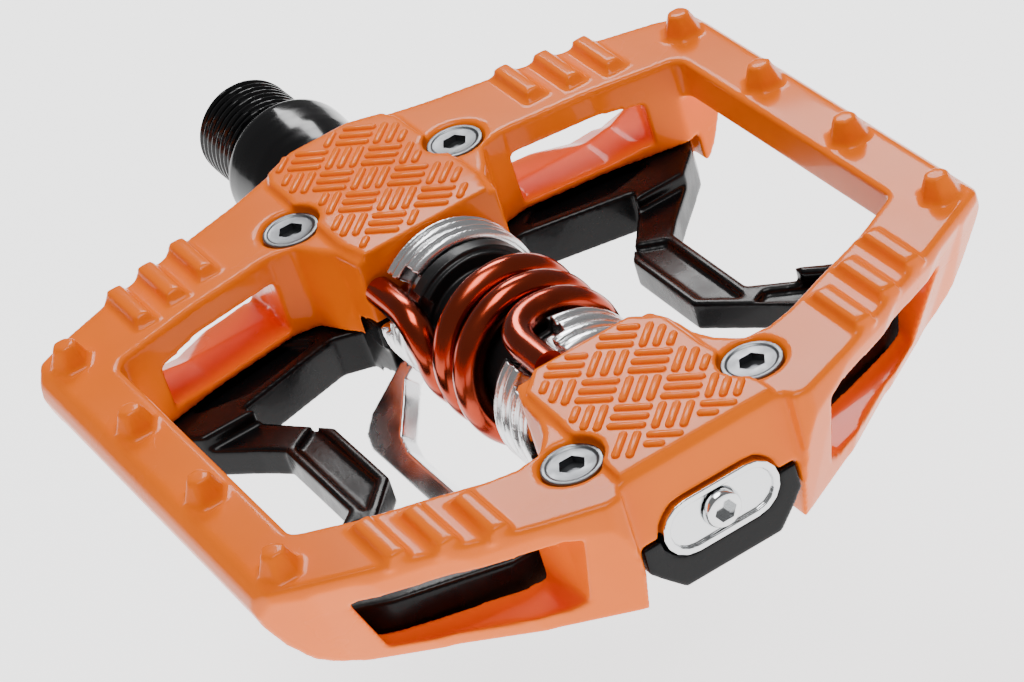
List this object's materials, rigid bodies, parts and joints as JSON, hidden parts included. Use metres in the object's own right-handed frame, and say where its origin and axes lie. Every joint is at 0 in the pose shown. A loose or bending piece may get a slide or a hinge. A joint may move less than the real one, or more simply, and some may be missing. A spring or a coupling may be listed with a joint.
{
  "type": "bicycle pedal",
  "caption": "Hybrid bicycle pedal: pinned platform body on top, black cage and sprung cleat wings below, turning on a threaded crank spindle.",
  "frame": {"origin": "centre of the spindle's crank shoulder, where the thread begins", "axes": "+X along the spindle towards the pedal's outer end, +Y to the rear of the bicycle, +Z out of the platform side"},
  "size_m": [0.1251, 0.1, 0.0275],
  "materials": {
    "orange_gloss": "gloss",
    "black_cast": "satin",
    "zinc_steel": "satin",
    "black_steel": "gloss",
    "chrome_steel": "polished",
    "red_spring_steel": "gloss",
    "black_plastic": "satin",
    "seal_rubber": "matte",
    "hub_alloy": "satin",
    "ball_cage_brass": "satin"
  },
  "bodies": {
    "spindle": {"spindle": "black_steel", "bearing_inner_race": "chrome_steel", "spindle_washer": "zinc_steel", "spindle_nut": "zinc_steel"},
    "pedal_body": {"platform_body": "orange_gloss", "lower_cage": "black_cast", "body_screw_front_inner": "zinc_steel", "body_screw_front_outer": "zinc_steel", "body_screw_rear_inner": "zinc_steel", "body_screw_rear_outer": "zinc_steel", "hub_tube": "hub_alloy", "inner_bushing": "black_plastic", "spindle_seal": "seal_rubber", "bearing_outer_race": "chrome_steel", "end_plate": "chrome_steel", "grease_plug": "chrome_steel", "spring_sleeve_inner": "black_plastic", "spring_sleeve_outer": "black_plastic", "torsion_spring": "red_spring_steel"},
    "ball_set": {"ball_cage": "ball_cage_brass", "bearing_ball_1": "chrome_steel", "bearing_ball_2": "chrome_steel", "bearing_ball_3": "chrome_steel", "bearing_ball_4": "chrome_steel", "bearing_ball_5": "chrome_steel", "bearing_ball_6": "chrome_steel", "bearing_ball_7": "chrome_steel"},
    "front_wing": {"front_wing": "chrome_steel"},
    "rear_wing": {"rear_wing": "chrome_steel"}
  },
  "joints": [
    {"name": "pedal_spin", "type": "hinge", "parent": "spindle", "child": "pedal_body", "pos_m": [0, 0, 0], "axis": [1, 0, 0], "continuous": true},
    {"name": "ball_cage_spin", "type": "hinge", "parent": "spindle", "child": "ball_set", "pos_m": [0, 0, 0], "axis": [1, 0, 0], "continuous": true},
    {"name": "front_wing_release", "type": "hinge", "parent": "pedal_body", "child": "front_wing", "pos_m": [0, 0, 0], "axis": [1, 0, 0], "range_deg": [-12, 0], "stiffness_Nm_per_rad": 0.2, "springref_deg": 14.32, "deforming": ["torsion_spring"]},
    {"name": "rear_wing_release", "type": "hinge", "parent": "pedal_body", "child": "rear_wing", "pos_m": [0, 0, 0], "axis": [1, 0, 0], "range_deg": [0, 12], "stiffness_Nm_per_rad": 0.2, "springref_deg": -14.32}
  ],
  "couplings": [
    {"joint": "ball_cage_spin", "follows": "pedal_spin", "ratio": 0.6235}
  ]
}
